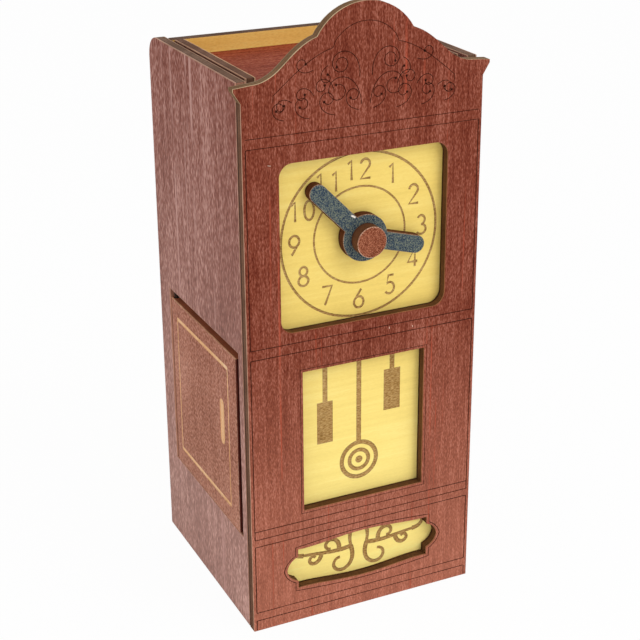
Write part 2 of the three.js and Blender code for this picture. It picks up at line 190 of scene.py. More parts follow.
def new_effect(name, inputs, outputs):
    """A shader node group with named inputs and outputs, and its two inner ends."""
    tree = bpy.data.node_groups.new(name, "ShaderNodeTree")
    for label, kind in inputs:
        tree.interface.new_socket(label, in_out="INPUT", socket_type="NodeSocket" + kind)
    for label, kind in outputs:
        tree.interface.new_socket(label, in_out="OUTPUT", socket_type="NodeSocket" + kind)
    return tree, tree.nodes.new("NodeGroupInput").outputs, tree.nodes.new("NodeGroupOutput").inputs


def mix_colours(tree, share, first, second, blend="MIX", clamp=False):
    """Second over first, by a share."""
    mix = add_node(tree, "Mix", {0: share, 6: first, 7: second}, data_type="RGBA", blend_type=blend,
                   clamp_result=clamp)
    return mix.outputs[2]


def spread(tree, value, low, high, at_low=0.0, at_high=1.0):
    """A value's stretch from low to high, spread over a new range and held at its ends."""
    inputs = {"Value": value, "From Min": low, "From Max": high, "To Min": at_low, "To Max": at_high}
    return add_node(tree, "MapRange", inputs).outputs[0]


def grain_noise(tree, place, rhythm):
    """Noise drawn out along the grain. Its rhythm says how often it changes in a metre along and
    across the grain, how finely it is broken up, and where its pattern starts."""
    along, across, detail, offset = rhythm
    drawn_out = add_node(tree, "Mapping", {"Vector": place, "Location": (offset, offset, offset),
                                           "Scale": (along, across, across)})
    noise = add_node(tree, "TexNoise", {"Vector": drawn_out.outputs[0], "Scale": 1.0, "Detail": detail})
    return noise.outputs[0]


# Stained veneer: cloudy stain, bands and fine lines along the grain, fibres, dark pores, pale streaks
tone_rhythms = {
    "Clouds": (22, 60, 3, 0.0),
    "Bands": (12, 360, 3, 3.1),
    "Lines": (70, 1500, 2, 29.3),
    "Fibres": (850, 2900, 1, 7.7),
}
pore_rhythm = (600, 2600, 1, 12.3)
streak_rhythm = (6, 700, 1, 17.9)
streak_break_rhythm = (50, 300, 2, 23.5)
noise_reach = (0.3, 0.7)
pore_reach = (0.58, 0.68)
streak_reach = (0.64, 0.7)
streak_break_reach = (0.42, 0.6)
middle_tone = 0.5
tone_swing = (-0.5, 0.5)
pore_darkening = (0.6, 0.6, 0.6, 1)
veneer_roughness = (0.68, 0.52)
veneer, grain, veneer_out = new_effect(
    "stained_veneer",
    [("Place", "Vector"), ("Painted Light Share", "Float"), ("Stain", "Color"), ("Painted_Foot_Light", "Color"), ("Dark", "Color"),
     ("Light", "Color"), ("Streak", "Color"), ("Clouds", "Float"), ("Bands", "Float"), ("Lines", "Float"),
     ("Fibres", "Float"), ("Pores", "Float"), ("Streaks", "Float")],
    [("Color", "Color"), ("Roughness", "Float"), ("Height", "Float")],
)
tone = middle_tone
for mark, rhythm in tone_rhythms.items():
    swing = spread(veneer, grain_noise(veneer, grain["Place"], rhythm), *noise_reach, *tone_swing)
    tone = calculate(veneer, "MULTIPLY_ADD", swing, grain[mark], tone)
pores = spread(veneer, grain_noise(veneer, grain["Place"], pore_rhythm), *pore_reach)
streaks = spread(veneer, grain_noise(veneer, grain["Place"], streak_rhythm), *streak_reach)
streak_breaks = grain_noise(veneer, grain["Place"], streak_break_rhythm)
streak_breaks = spread(veneer, streak_breaks, *streak_break_reach)
dark_part = mix_colours(veneer, spread(veneer, tone, 0, middle_tone), grain["Dark"], grain["Stain"])
toned = mix_colours(veneer, spread(veneer, tone, middle_tone, 1), dark_part, grain["Light"])
# Painted light: towards the foot the colour is lifted to the paler foot colour, standing in for light and
# sheen low down
painted_foot_lift = mix_colours(veneer, 1.0, grain["Painted_Foot_Light"], grain["Stain"], "SUBTRACT")
toned = mix_colours(veneer, grain["Painted Light Share"], toned, painted_foot_lift, "ADD", clamp=True)
streak_share = calculate(veneer, "MULTIPLY", streaks, streak_breaks)
streak_share = calculate(veneer, "MULTIPLY", streak_share, grain["Streaks"])
streaked = mix_colours(veneer, streak_share, toned, grain["Streak"])
pore_colour = mix_colours(veneer, 1.0, grain["Dark"], pore_darkening, "MULTIPLY")
pore_share = calculate(veneer, "MULTIPLY", pores, grain["Pores"])
veneer.links.new(mix_colours(veneer, pore_share, streaked, pore_colour), veneer_out["Color"])
veneer.links.new(spread(veneer, tone, 0, 1, *veneer_roughness), veneer_out["Roughness"])
veneer.links.new(calculate(veneer, "SUBTRACT", tone, pores), veneer_out["Height"])

# Cut edge of three-ply: a face veneer on each side of a browned core, with burnt glue lines and arrises
veneer_depth = 0.75 * MM
veneer_waver = 0.08 * MM
veneer_blend = (veneer_depth - 0.08 * MM, veneer_depth + 0.04 * MM)
glue_line_blend = (0.06 * MM, 0.2 * MM)
glue_line_strength = 0.85
arris_blend = (0.05 * MM, 0.22 * MM)
waver_rhythm = (240, 240, 2, 0.0)
striae_rhythm = (1500, 1500, 2, 5.3)
scorch_rhythm = (130, 130, 3, 9.1)
mark_reach = (0.35, 0.65)
striae_share = 0.3
core_scorch_share = 0.3
veneer_scorch_share = 0.45
ply_roughness = (0.7, 0.85)
ply, layer, ply_out = new_effect(
    "three_ply_edge",
    [("Place", "Vector"), ("Thickness", "Float"), ("Veneer", "Color"), ("Inner Veneer and Shade", "Color"),
     ("Core", "Color"), ("Burnt", "Color"), ("Arris", "Float")],
    [("Color", "Color"), ("Roughness", "Float"), ("Height", "Float")],
)
depth = add_node(ply, "SeparateXYZ", {0: layer["Place"]}).outputs[2]
waver = grain_noise(ply, layer["Place"], waver_rhythm)
waver = spread(ply, waver, *noise_reach, -veneer_waver, veneer_waver)
depth = calculate(ply, "ADD", depth, waver)
from_back = calculate(ply, "SUBTRACT", layer["Thickness"], depth)
nearest_face = calculate(ply, "MINIMUM", depth, from_back)
in_veneer = spread(ply, nearest_face, *veneer_blend, 1, 0)
from_glue = calculate(ply, "ABSOLUTE", calculate(ply, "SUBTRACT", nearest_face, veneer_depth))
in_glue = spread(ply, from_glue, *glue_line_blend, glue_line_strength, 0)
on_arris = spread(ply, nearest_face, *arris_blend, 1, 0)
on_arris = calculate(ply, "MULTIPLY", on_arris, layer["Arris"])
striae = spread(ply, grain_noise(ply, layer["Place"], striae_rhythm), *mark_reach)
scorch = spread(ply, grain_noise(ply, layer["Place"], scorch_rhythm), *mark_reach)
core_striae = calculate(ply, "MULTIPLY", striae, striae_share)
core_scorch = calculate(ply, "MULTIPLY", scorch, core_scorch_share)
veneer_scorch = calculate(ply, "MULTIPLY", scorch, veneer_scorch_share)
core_tone = mix_colours(ply, core_striae, layer["Core"], layer["Burnt"])
core_tone = mix_colours(ply, core_scorch, core_tone, layer["Burnt"])
nearer_back = calculate(ply, "LESS_THAN", from_back, depth)
veneer_tone = mix_colours(ply, nearer_back, layer["Veneer"], layer["Inner Veneer and Shade"])
veneer_tone = mix_colours(ply, veneer_scorch, veneer_tone, layer["Core"])
edge_tone = mix_colours(ply, in_veneer, core_tone, veneer_tone)
edge_tone = mix_colours(ply, in_glue, edge_tone, layer["Burnt"])
edge_tone = mix_colours(ply, on_arris, edge_tone, layer["Burnt"])
ply.links.new(edge_tone, ply_out["Color"])
ply.links.new(spread(ply, scorch, 0, 1, *ply_roughness), ply_out["Roughness"])
ply.links.new(calculate(ply, "SUBTRACT", striae, in_glue), ply_out["Height"])


def board_place(tree, grain_along, depth_along, origin, shortening=1.0, narrowing=1.0):
    """Coordinates on a board: along the grain, across it, and down from the front face.
    Shortening and narrowing draw the grain's marks together along and across it."""
    across = depth_along.cross(grain_along)
    turn = Matrix((grain_along, across, depth_along))
    position = add_node(tree, "TexCoord").outputs["Object"]
    closer = [shortening if part else narrowing for part in grain_along]
    place = add_node(tree, "Mapping", {"Vector": position, "Location": -(turn @ Vector(origin)),
                                       "Rotation": turn.to_euler(), "Scale": closer})
    return place.outputs[0]


def ply_edge(veneer, core, burnt, inner=None, arris=0.0, thickness=board_thickness):
    """The values of a cut edge: its front veneer, core, burnt lines and inner veneer, as the eye
    reads them, and how far its arrises are burnt. On some edges the inner veneer's colour is painted shade."""
    return {"Thickness": thickness, "Veneer": veneer, "Inner Veneer and Shade": inner or veneer,
            "Core": core, "Burnt": burnt, "Arris": arris}


def wood_finish(name, effect, place, values, bump=0.05 * MM, fade=(0.0, 0.125)):
    """A material whose colour, roughness and relief come from a wood effect. Its values are colours
    as the eye reads them and plain strengths. The painted light at the foot fades out between two heights."""
    finish = bpy.data.materials.new(name)
    finish.use_nodes = True
    tree = finish.node_tree
    surface = tree.nodes["Principled BSDF"]
    surface.inputs["Specular IOR Level"].default_value = wood_gloss
    wood = add_node(tree, "Group", node_tree=effect)
    tree.links.new(board_place(tree, *place), wood.inputs["Place"])
    if effect is veneer:
        values = {"Painted_Foot_Light": values["Stain"], "Streak": values["Light"], **values}
        position = add_node(tree, "TexCoord").outputs["Object"]
        height = add_node(tree, "SeparateXYZ", {0: position}).outputs[2]
        tree.links.new(spread(tree, height, *fade, 1, 0), wood.inputs["Painted Light Share"])
    for socket, value in values.items():
        wood.inputs[socket].default_value = colour(*value) if isinstance(value, tuple) else value
    relief = add_node(tree, "Bump", {"Height": wood.outputs["Height"], "Distance": bump, "Strength": 1.0})
    tree.links.new(wood.outputs["Color"], surface.inputs["Base Color"])
    tree.links.new(wood.outputs["Roughness"], surface.inputs["Roughness"])
    tree.links.new(relief.outputs[0], surface.inputs["Normal"])
    return finish


def cut_board(name, node, body, facing, front, back, edge, arris=None, rounding=edge_rounding):
    """The board that stands for a node: its solid with clean faces and just broken corners.
    Faces turned along the board's facing get the front finish, the opposite ones the back finish,
    and the broken corners round the front face the arris finish where there is one."""
    shape = bmesh.new()
    shape.from_mesh(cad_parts[node].data)
    bmesh.ops.remove_doubles(shape, verts=shape.verts, dist=weld_distance)
    bmesh.ops.dissolve_limit(shape, angle_limit=flat_angle, verts=shape.verts, edges=shape.edges)
    corners = [line for line in shape.edges if line.calc_face_angle(0) > sharp_angle]
    bmesh.ops.bevel(shape, geom=corners, offset=rounding, offset_type="OFFSET", segments=2,
                    profile=0.5, material=-1, affect="EDGES", clamp_overlap=True)
    finishes = list(dict.fromkeys((front, back, edge, arris or edge)))
    for face in shape.faces:
        along = face.normal.dot(facing)
        finish = front if along > front_facing else back if along < -back_facing else edge
        if arris and arris_facing < along <= front_facing:
            finish = arris
        face.material_index = finishes.index(finish)
        face.smooth = abs(along) < back_facing
    for line in shape.edges:
        line.smooth = line.calc_face_angle(0) < smooth_angle
    data = bpy.data.meshes.new(name)
    shape.to_mesh(data)
    shape.free()
    for finish in finishes:
        data.materials.append(finish)
    piece = bpy.data.objects.new(name, data)
    scene.collection.objects.link(piece)
    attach(piece, body)
    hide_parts(node)
    return piece


def add_finish(piece, finish):
    """Gives the piece one more finish, and returns its number there."""
    piece.data.materials.append(finish)
    return len(piece.data.materials) - 1


def line_cutter(name, strokes, depth, turn, blocks):
    """A cutter for lines burnt into a face: a flattened tube along each stroke, and flat-bottomed
    blocks. Strokes are (points, closed, width), with the share of the width left at the end where
    they taper, and blocks (low, high), all drawn in x and z with the face at y = 0."""
    shape = bmesh.new()
    for points, closed, width, *taper in strokes:
        curve = bpy.data.curves.new(name, "CURVE")
        curve.dimensions = "3D"
        curve.bevel_depth = width / 2
        curve.bevel_resolution = 1
        curve.use_fill_caps = not closed
        spline = curve.splines.new("POLY")
        spline.points.add(len(points) - 1)
        end_share = taper[0] if taper else 1.0
        for index, (x, z) in enumerate(points):
            spline.points[index].co = (x, 0, z, 1)
            spline.points[index].radius = 1 + (end_share - 1) * index / (len(points) - 1)
        spline.use_cyclic_u = closed
        stroke_object = bpy.data.objects.new(name, curve)
        tube = bpy.data.meshes.new_from_object(stroke_object)
        tube.transform(Matrix.Diagonal((1, depth * 2 / width, 1, 1)))
        shape.from_mesh(tube)
        bpy.data.objects.remove(stroke_object)
        bpy.data.curves.remove(curve)
        bpy.data.meshes.remove(tube)
    bmesh.ops.remove_doubles(shape, verts=shape.verts, dist=weld_distance)
    for (x0, z0), (x1, z1) in blocks:
        size = Matrix.Diagonal((x1 - x0, 2 * depth, z1 - z0, 1))
        middle = Matrix.Translation(((x0 + x1) / 2, 0, (z0 + z1) / 2))
        bmesh.ops.create_cube(shape, size=1, matrix=middle @ size)
    bmesh.ops.recalc_face_normals(shape, faces=shape.faces)
    bmesh.ops.transform(shape, matrix=turn, verts=shape.verts)
    data = bpy.data.meshes.new(name)
    shape.to_mesh(data)
    shape.free()
    cutter = bpy.data.objects.new(name, data)
    scene.collection.objects.link(cutter)
    return cutter


def engrave(piece, finish, strokes, depth, turn, blocks=()):
    """Cuts lines and blocks into a piece and gives the walls of the cut their own finish."""
    cutter = line_cutter(piece.name + "_lines", strokes, depth, turn, blocks)
    cutter.data.materials.append(finish)
    piece.data.materials.append(finish)
    cut = piece.modifiers.new("engraving", "BOOLEAN")
    cut.operation = "DIFFERENCE"
    cut.solver = "EXACT"
    cut.use_self = True
    cut.material_mode = "TRANSFER"
    cut.object = cutter
    graph = bpy.context.evaluated_depsgraph_get()
    engraved = bpy.data.meshes.new_from_object(piece.evaluated_get(graph))
    piece.modifiers.clear()
    piece.data = engraved
    bpy.data.objects.remove(cutter)


def arc(centre_x, centre_z, radius_x, radius_z, start, end, steps=16):
    """Points round part of an ellipse, from one angle to another in degrees."""
    points = []
    for step in range(steps + 1):
        angle = math.radians(start + (end - start) * step / steps)
        points.append((centre_x + radius_x * math.cos(angle), centre_z + radius_z * math.sin(angle)))
    return points


def circle(centre_x, centre_z, radius, steps=64):
    """Points once round a circle."""
    return arc(centre_x, centre_z, radius, radius, 0, 360 - 360 / steps, steps - 1)


def bend(*points, steps=10):
    """Points along a cubic curve through two ends and their two controls."""
    start, start_control, end_control, end = (Vector((x, z)) for x, z in points)
    return [tuple(point) for point in interpolate_bezier(start, start_control, end_control, end, steps)]


def scaled(points, height=0.0):
    """Points drawn in millimetres, in metres, raised to a height."""
    return [(x * MM, height + z * MM) for x, z in points]


mahogany = dict(Stain=(124, 58, 39), Painted_Foot_Light=(170, 102, 80), Dark=(86, 23, 6),
                Light=(168, 102, 84), Streak=(178, 78, 54), Clouds=0.2, Bands=0.2, Lines=0.35,
                Fibres=0.62, Pores=0.1, Streaks=0.6)
brown_edge = ply_edge((230, 200, 158), (140, 106, 74), (66, 46, 32), inner=(150, 124, 96))
# The stiles' outer edges: light veneer and brown core, with the inner veneer painted near black, a painted
# shadow line where they meet the sides
stile_edge_shadow_values = ply_edge((214, 166, 138), (122, 86, 64), (40, 20, 10), inner=(60, 30, 16))
# The windows' edges: burnt, and painted darker as shade inside the windows, near black at the inner veneer
# by the face board
window_edge_shade_values = ply_edge((160, 108, 76), (106, 70, 42), (46, 28, 14), inner=(44, 26, 12))
worn_values = dict(Stain=(150, 118, 96), Dark=(90, 66, 54), Light=(206, 170, 142),
                   Clouds=0.5, Bands=0.3, Fibres=1.2, Pores=0.3, Streaks=0.0)
burnt_line = dict(Stain=(74, 32, 20), Dark=(48, 20, 12), Light=(98, 48, 32),
                  Clouds=0.6, Bands=0.2, Fibres=0.5, Pores=0.3, Streaks=0.0)
fascia_arris_values = dict(worn_values, Stain=(236, 186, 152), Light=(252, 222, 192))
# Painted sheen and light: the red face is painted paler towards the foot, fading out by the second height
fascia_painted_light_fade = (0.0, 0.115)
fascia_place = (up, backward, (0, fascia_front, 0))
fascia_face = wood_finish("mahogany_face", veneer, fascia_place, mahogany, fade=fascia_painted_light_fade)
fascia_edge = wood_finish("brown_cut_edge", ply, fascia_place, brown_edge)
fascia_burn = wood_finish("burnt_line", veneer, fascia_place, burnt_line)
fascia_arris = wood_finish("worn_fascia_arris", veneer, fascia_place, fascia_arris_values)
window_edge = wood_finish("burnt_shaded_window_edge", ply, fascia_place, window_edge_shade_values)
stile_edge = wood_finish("shadowed_stile_edge", ply, fascia_place, stile_edge_shadow_values)
fascia = cut_board("fascia_board", "fascia", "case", -backward, fascia_face, fascia_face,
                   fascia_edge, fascia_arris, rounding=fascia_rounding)
windows_reach = 40 * MM
windows_bottom = 2 * MM
windows_top = 186 * MM
stile_facing = 0.8
window_number = add_finish(fascia, window_edge)
stile_number = add_finish(fascia, stile_edge)
for face in fascia.data.polygons:
    middle = face.center
    if fascia.data.materials[face.material_index] == fascia_edge:
        if abs(middle.x) < windows_reach and windows_bottom < middle.z < windows_top:
            face.material_index = window_number
        elif abs(face.normal.x) > stile_facing and middle.z < windows_top:
            face.material_index = stile_number


def curl(x, z, heading, length, bend_start, bend_end, steps=22):
    """Points along a stroke whose bend changes evenly, from where it starts, its heading and length."""
    points = [(x, z)]
    stride = length / steps
    for step in range(steps):
        bend_here = bend_start + (bend_end - bend_start) * (step + 0.5) / steps
        heading += math.degrees(bend_here * stride)
        x += stride * math.cos(math.radians(heading))
        z += stride * math.sin(math.radians(heading))
        points.append((x, z))
    return points


def mirrored(points):
    """The same stroke on the other side of the middle."""
    return [(-x, z) for x, z in points]


line_width = 0.36 * MM
line_depth = 0.3 * MM
frame_x = 44.8
frame_lines = (4.4, 7.8, 36.2, 39.2, 42.6, 111.5, 115.3, 188.1, 191.7)
frame_uprights = ((0.4, 4.4), (7.8, 36.2), (39.2, 42.6), (42.6, 111.5), (115.3, 188.1))
pendulum_frame = ((-25.8, 45.8), (25.8, 45.8), (25.8, 104.4), (-25.8, 104.4))
crest_centre_height = 213.1
crest_line_radius = 14.3
crest_line_width = 0.26 * MM
crest_bottom = 180
scroll_line_width = 0.3 * MM
scroll_dot_radius = 0.5
# Rows for curl: where a stroke starts, its heading in degrees, its length, and its bend at each end
crest_scrolls = (
    (1.6, 199.0, 84, 36, -0.015, -0.42),
    (2.8, 197.2, 12, 19, 0.06, 0.66),
    (12.0, 204.8, 75, 16, -0.05, -0.72),
    (11.8, 196.4, 8, 21, 0.05, 0.62),
    (19.6, 203.8, 62, 14, -0.06, -0.78),
    (21.4, 196.2, 8, 19, 0.06, 0.66),
    (27.8, 202.4, 40, 12, -0.08, -0.86),
    (30.6, 196.6, 6, 16, 0.09, 0.78),
    (14.2, 213.6, -30, 12, -0.04, -0.85),
    (19.6, 212.6, -22, 13, 0.03, 0.75),
    (2.4, 208.5, 96, 36, -0.04, -0.50),
)
fascia_strokes = []
for height in frame_lines:
    level_line = scaled([(-frame_x, height), (frame_x, height)])
    fascia_strokes.append((level_line, False, line_width if height < crest_bottom else crest_line_width))
for low, high in frame_uprights:
    for side in (-1, 1):
        upright = scaled([(side * frame_x, low), (side * frame_x, high)])
        fascia_strokes.append((upright, False, line_width))
fascia_strokes.append((scaled(pendulum_frame), True, line_width))
cartouche_middle = 22.5
cartouche_half = bend((0, 33.5), (11, 33.5), (20, 32.6), (28.6, 31.9)) + [(28.6, 28.3)]
cartouche_half += bend((28.6, 28.3), (30.8, 27.2), (32.6, 25.4), (33.3, 22.5))
cartouche_line = cartouche_half + [(x, 2 * cartouche_middle - z) for x, z in reversed(cartouche_half[:-1])]
cartouche_line += mirrored(cartouche_line[-2:0:-1])
fascia_strokes.append((scaled(cartouche_line), True, line_width))
crest_arc = arc(0, crest_centre_height, crest_line_radius, crest_line_radius, 38, 142)
fascia_strokes.append((scaled(crest_arc), False, crest_line_width))
shoulder_line = [crest_arc[0], (12.4, 219.4)]
shoulder_line += bend((12.4, 219.4), (20, 217.6), (26, 212.6), (34.5, 205.4)) + [(34.5, 203.4)]
fascia_strokes.append((scaled(shoulder_line), False, crest_line_width))
fascia_strokes.append((scaled(mirrored(shoulder_line)), False, crest_line_width))
for row in crest_scrolls:
    for stroke in (curl(*row), mirrored(curl(*row))):
        fascia_strokes.append((scaled(stroke), False, scroll_line_width))
        dot = circle(*stroke[-1], scroll_dot_radius / 2, steps=12)
        fascia_strokes.append((scaled(dot), True, scroll_dot_radius * MM))
fascia_turn = Matrix.Translation((0, fascia_front, 0))
engrave(fascia, fascia_burn, fascia_strokes, line_depth, fascia_turn)

fleck_width = 0.3 * MM
fleck_depth = 0.08 * MM
fleck_values = dict(Stain=(226, 198, 180), Dark=(190, 150, 130), Light=(244, 226, 212),
                    Clouds=0.5, Bands=0.3, Fibres=0.6, Pores=0.2, Streaks=0.0)
# The two ends of each fleck where the stain is chipped off
flecks = (((-36.9, 181.9), (-35.7, 181.6)), ((19.6, 113.3), (19.7, 112.6)), ((10.0, 114.6), (10.1, 113.7)))
fleck_finish = wood_finish("bare_fleck", veneer, fascia_place, fleck_values)
fleck_strokes = [(scaled(fleck), False, fleck_width) for fleck in flecks]
engrave(fascia, fleck_finish, fleck_strokes, fleck_depth, fascia_turn)

# Face board
# One yellow-stained board glued behind the fascia, with its grain level. Through the three windows
# it shows as the dial, the pendulum plate and the scroll plate, all engraved, which browns the wood.
yellow = dict(Stain=(239, 209, 113), Painted_Foot_Light=(255, 232, 138), Dark=(216, 184, 90),
              Light=(253, 234, 150), Clouds=0.14, Bands=0.2, Lines=0.08, Fibres=0.1, Pores=0.03,
              Streaks=0.0)
yellow_edge = ply_edge((200, 170, 110), (120, 96, 62), (58, 40, 26), arris=0.4)
engraved = dict(Stain=(172, 134, 78), Dark=(138, 100, 50), Light=(196, 162, 106),
                Clouds=0.3, Bands=0.3, Fibres=1.0, Pores=0.3, Streaks=0.0)
face_relief = 0.01 * MM
engraved_relief = 0.04 * MM
# Painted light: the yellow is painted lighter towards the foot, making up for the shade low in the windows
face_painted_light_fade = (0.035, 0.125)
face_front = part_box("face_board")[0].y
face_place = (right, backward, (0, face_front, 0))
face_finish = wood_finish("yellow_face", veneer, face_place, yellow, face_relief, face_painted_light_fade)
face_edge = wood_finish("yellow_board_edge", ply, (up, backward, (0, face_front, 0)), yellow_edge)
face_engraving = wood_finish("engraved_brown", veneer, face_place, engraved, engraved_relief)
face_board = cut_board("face_board_panel", "face_board", "case", -backward,
                       face_finish, face_finish, face_edge)

face_turn = Matrix.Translation((0, face_front, 0))
face_depth = 0.12 * MM
dial_height = 150.25
# Radius and line width of each ring
dial_rings = ((30.7, 1.1), (18.0, 0.9))
number_middle_x = -0.35
number_ring_width = 25.2
number_ring_height = 24.2
number_height = 7.1
number_line = 1.05 * MM
digit_pitch = 0.82
digit_middle = 0.5
dial_ring_steps = 96
hours = 12
# The strokes of each digit, one unit high from its lower left corner
digit_strokes = {
    "0": (arc(0.28, 0.5, 0.26, 0.5, 0, 345, 23),),
    "1": ([(0.14, 0.84), (0.34, 1.0), (0.34, 0.0)],),
    "2": (arc(0.28, 0.74, 0.25, 0.26, 172, -38) + [(0.02, 0.0), (0.56, 0.0)],),
    "3": (arc(0.24, 0.76, 0.21, 0.24, 150, -90), arc(0.24, 0.26, 0.27, 0.26, 90, -150)),
    "4": ([(0.42, 0.0), (0.42, 1.0), (0.0, 0.27), (0.56, 0.27)],),
    "5": ([(0.50, 1.0), (0.20, 1.0), (0.11, 0.55)] + arc(0.26, 0.31, 0.27, 0.31, 122, -145),),
    "6": (arc(0.28, 0.30, 0.27, 0.30, 0, 345, 23), [(0.05, 0.44), (0.42, 1.0)]),
    "7": ([(0.02, 1.0), (0.56, 1.0), (0.17, 0.0)],),
    "8": (arc(0.28, 0.76, 0.21, 0.24, 0, 345, 23), arc(0.28, 0.26, 0.27, 0.26, 0, 345, 23)),
    "9": (arc(0.28, 0.70, 0.27, 0.30, 0, 345, 23), [(0.51, 0.56), (0.14, 0.0)]),
}
closed_digit_parts = {("0", 0), ("6", 0), ("8", 0), ("8", 1), ("9", 0)}
face_strokes = []
for radius, width in dial_rings:
    face_strokes.append((scaled(circle(0, dial_height, radius, dial_ring_steps)), True, width * MM))
for hour in range(1, hours + 1):
    angle = math.radians(360 / hours * hour)
    middle_x = number_middle_x + number_ring_width * math.sin(angle)
    middle_z = dial_height + number_ring_height * math.cos(angle)
    parts = []
    for place, digit in enumerate(str(hour)):
        for index, part in enumerate(digit_strokes[digit]):
            moved = [(x + place * digit_pitch, z) for x, z in part]
            parts.append((moved, (digit, index) in closed_digit_parts))
    reach = [x for points, _ in parts for x, _ in points]
    middle = (min(reach) + max(reach)) / 2
    for points, closed in parts:
        drawn = [((x - middle) * number_height + middle_x, (z - digit_middle) * number_height + middle_z)
                 for x, z in points]
        face_strokes.append((scaled(drawn), closed, number_line))

bob_height = 60.6
bob_rings = ((7.2, 2.05), (3.95, 1.85))
bob_dot_radius = 1.6
# Two corners of each rod and weight: the middle rod carries the bob, the outer ones the weights
rods = (((-15.0, 87.2), (-13.0, 107)), ((-1.15, 67.6), (0.85, 107)), ((12.6, 95.2), (14.6, 107)))
weights = (((-17.3, 70.6), (-10.9, 87.5)), ((10.2, 78.8), (17.1, 95.5)))
for radius, width in bob_rings:
    face_strokes.append((scaled(circle(0, bob_height, radius)), True, width * MM))
bob_dot = circle(0, bob_height, bob_dot_radius / 2, steps=24)
face_strokes.append((scaled(bob_dot), True, bob_dot_radius * MM))
face_blocks = [scaled(corners) for corners in rods + weights]

scroll_width = 2.3 * MM
scroll_tip_share = 0.6
# Rows for curl, as in the crest
plate_scrolls = (
    (2.2, 33.1, -58, 9.6, -0.09, -0.09),
    (3.4, 23.9, -110, 21.5, 0.04, 0.42),
    (3.3, 23.9, -14, 20.6, 0.05, -0.02),
    (8.4, 23.6, 98, 13.6, -0.10, -0.62),
    (15.8, 24.0, -84, 12.0, 0.06, 0.86),
    (23.4, 24.65, 4, 8.6, 0.04, 0.62),
)
for row in plate_scrolls:
    for stroke in (curl(*row), mirrored(curl(*row))):
        face_strokes.append((scaled(stroke), False, scroll_width, scroll_tip_share))
engrave(face_board, face_engraving, face_strokes, face_depth, face_turn, face_blocks)

# Outer sides
# Two boards that carry everything, glued behind the fascia, stained like it but paler, partly a painted
# sheen.
# The left one has the doorway, with the bores for the hinge pins in its rear corners.
side_stain_and_sheen_values = dict(Stain=(142, 84, 70), Painted_Foot_Light=(178, 134, 122), Dark=(108, 54, 42),
                   Light=(196, 146, 134), Streak=(200, 154, 144), Clouds=0.3, Bands=0.25,
                   Lines=0.3, Fibres=0.85, Pores=0.15, Streaks=0.9)
# Painted light: the sides are painted paler still towards the foot
side_painted_light_fade = (0.0, 0.2)
side_grain_spread = (0.55, 0.7)
side_edge_values = ply_edge((196, 154, 132), (132, 100, 80), (44, 28, 20), inner=(176, 136, 110))
sides = {}
for name, outward in (("left", -right), ("right", right)):
    outer_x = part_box("side_" + name)[0 if name == "left" else 1].x
    side_place = (up, -outward, (outer_x, 0, 0))
    side_face = wood_finish("side_face_" + name, veneer, (*side_place, *side_grain_spread), side_stain_and_sheen_values,
                            fade=side_painted_light_fade)
    side_edge = wood_finish("side_edge_" + name, ply, side_place, side_edge_values)
    sides[name] = cut_board("side_board_" + name, "side_" + name, "case", outward,
                            side_face, side_face, side_edge)
# The doorway's cut edges are painted lighter than the sides' other edges, painted light against the shade
# in the door's gaps
doorway_painted_light_values = ply_edge((214, 160, 136), (190, 136, 112), (120, 72, 54))
left_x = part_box("side_left")[0].x
doorway_edge = wood_finish("doorway_edge", ply, (up, right, (left_x, 0, 0)), doorway_painted_light_values)
doorway_low, doorway_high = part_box("door_panel")
doorway_reach = 8 * MM
doorway_rear_reach = 2 * MM
doorway_number = add_finish(sides["left"], doorway_edge)
for face in sides["left"].data.polygons:
    middle = face.center
    in_doorway = (doorway_low.y - doorway_reach < middle.y < doorway_high.y + doorway_rear_reach
                  and doorway_low.z - doorway_reach < middle.z < doorway_high.z + doorway_reach)
    if in_doorway and face.use_smooth:
        face.material_index = doorway_number

# Linings
# An inner board of bare birch three-ply behind each side makes the case double walled.
# The left one is cut out behind the door, whose rim closes against it.
bare = dict(Stain=(224, 188, 140), Dark=(196, 154, 106), Light=(238, 208, 166),
            Clouds=0.4, Bands=0.6, Fibres=0.5, Pores=0.3, Streaks=0.2)
# The linings' outer faces show only through the door's gaps; they are painted dark brown as the shade there
painted_gap_shade = dict(bare, Stain=(112, 72, 58), Dark=(84, 50, 40), Light=(140, 98, 80))
lining_edge_values = ply_edge((190, 148, 120), (128, 90, 70), (44, 28, 20), inner=(226, 180, 140))
for name, outward in (("left", -right), ("right", right)):
    outer_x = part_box("lining_" + name)[0 if name == "left" else 1].x
    lining_place = (up, -outward, (outer_x, 0, 0))
    lining_face = wood_finish("lining_face_" + name, veneer, lining_place, bare)
    lining_back_shade = wood_finish("lining_outer_shade_" + name, veneer, lining_place, painted_gap_shade)
    lining_edge = wood_finish("lining_edge_" + name, ply, lining_place, lining_edge_values)
    cut_board("lining_board_" + name, "lining_" + name, "case", outward,
              lining_back_shade, lining_face, lining_edge)

# Back
# A board of the same three-ply, stained yellow-orange, with its grain level.
# It is glued in between the two sides, a little way in front of their rear edges.
orange = dict(Stain=(255, 210, 116), Dark=(240, 184, 84), Light=(255, 226, 144),
              Clouds=0.35, Bands=0.3, Fibres=0.3, Pores=0.12, Streaks=0.1)
back_edge_values = ply_edge((122, 92, 72), (104, 76, 60), (56, 40, 32), arris=0.3)
back_relief = 0.03 * MM
back_origin = (0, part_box("back_panel")[0].y, 0)
back_face = wood_finish("orange_face", veneer, (right, backward, back_origin), orange, back_relief)
back_edge = wood_finish("orange_board_edge", ply, (up, backward, back_origin), back_edge_values)
cut_board("back_board", "back_panel", "case", -backward, back_face, back_face, back_edge)

